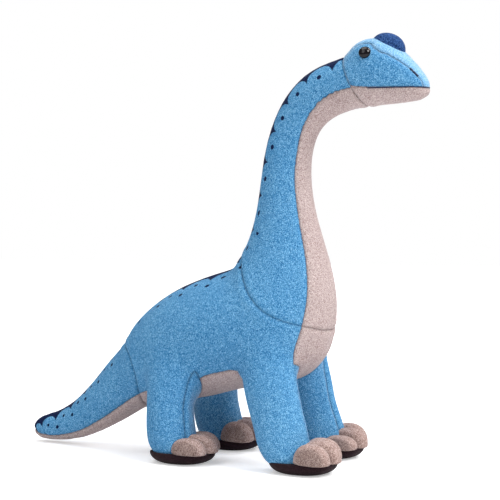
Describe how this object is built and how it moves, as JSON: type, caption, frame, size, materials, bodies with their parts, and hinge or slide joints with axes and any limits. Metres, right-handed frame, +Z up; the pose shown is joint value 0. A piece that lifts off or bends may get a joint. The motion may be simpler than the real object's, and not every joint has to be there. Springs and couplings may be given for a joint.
{
  "type": "stuffed toy dinosaur",
  "caption": "Stuffed long-necked dinosaur toy standing on four legs, in short-pile plush with a pale underside, dark crest and scalloped print along the back.",
  "frame": {"origin": "on the floor, in the middle of the footprint of the whole toy from tail tip to nose", "axes": "+X towards the nose, +Y to the toy's left, +Z up"},
  "size_m": [0.4577, 0.153, 0.4174],
  "materials": {
    "blue_plush": "matte short pile",
    "pale_plush": "matte short pile",
    "navy_plush": "matte short pile",
    "sole_cloth": "matte cloth",
    "embroidery_thread": "satin thread",
    "filling": "fibre",
    "eye_plastic": "gloss",
    "washer_plastic": "matte"
  },
  "bodies": {
    "trunk": {"belly_gusset": "pale_plush", "body_side_left": "blue_plush", "body_side_right": "blue_plush", "fill_body": "filling", "fill_leg_front_left": "filling", "fill_leg_front_right": "filling", "fill_leg_hind_left": "filling", "fill_leg_hind_right": "filling", "inner_leg_front_left": "blue_plush", "inner_leg_front_right": "blue_plush", "inner_leg_hind_left": "blue_plush", "inner_leg_hind_right": "blue_plush", "sole_front_left": "sole_cloth", "sole_front_right": "sole_cloth", "sole_hind_left": "sole_cloth", "sole_hind_right": "sole_cloth", "toe_front_left_inner": "pale_plush", "toe_front_left_middle": "pale_plush", "toe_front_left_outer": "pale_plush", "toe_front_right_inner": "pale_plush", "toe_front_right_middle": "pale_plush", "toe_front_right_outer": "pale_plush", "toe_hind_left_inner": "pale_plush", "toe_hind_left_middle": "pale_plush", "toe_hind_left_outer": "pale_plush", "toe_hind_right_inner": "pale_plush", "toe_hind_right_middle": "pale_plush", "toe_hind_right_outer": "pale_plush"},
    "neck": {"fill_neck": "filling", "neck_front": "pale_plush", "neck_side_left": "blue_plush", "neck_side_right": "blue_plush"},
    "head": {"chin": "pale_plush", "eye_left": "eye_plastic", "eye_right": "eye_plastic", "eye_washer_left": "washer_plastic", "eye_washer_right": "washer_plastic", "fill_head": "filling", "head_crest": "navy_plush", "head_side_left": "blue_plush", "head_side_right": "blue_plush", "head_top": "blue_plush", "mouth_line": "embroidery_thread", "nostril_left": "embroidery_thread", "nostril_right": "embroidery_thread"},
    "tail": {"fill_tail": "filling", "tail_side_left": "blue_plush", "tail_side_right": "blue_plush", "tail_underside": "pale_plush"}
  },
  "joints": [
    {"name": "neck_bend", "type": "hinge", "parent": "trunk", "child": "neck", "pos_m": [0.08815, 0, 0.1814], "axis": [0, 1, 0], "range_deg": [-10, 15], "stiffness_Nm_per_rad": 2, "springref_deg": -1.72},
    {"name": "head_nod", "type": "hinge", "parent": "neck", "child": "head", "pos_m": [0.17667, 0, 0.38278], "axis": [0, 1, 0], "range_deg": [-12, 12], "stiffness_Nm_per_rad": 0.3, "springref_deg": -0.29},
    {"name": "tail_swing", "type": "hinge", "parent": "trunk", "child": "tail", "pos_m": [-0.11133, 0, 0.07376], "axis": [0, 0, 1], "range_deg": [-20, 20], "stiffness_Nm_per_rad": 0.6}
  ]
}
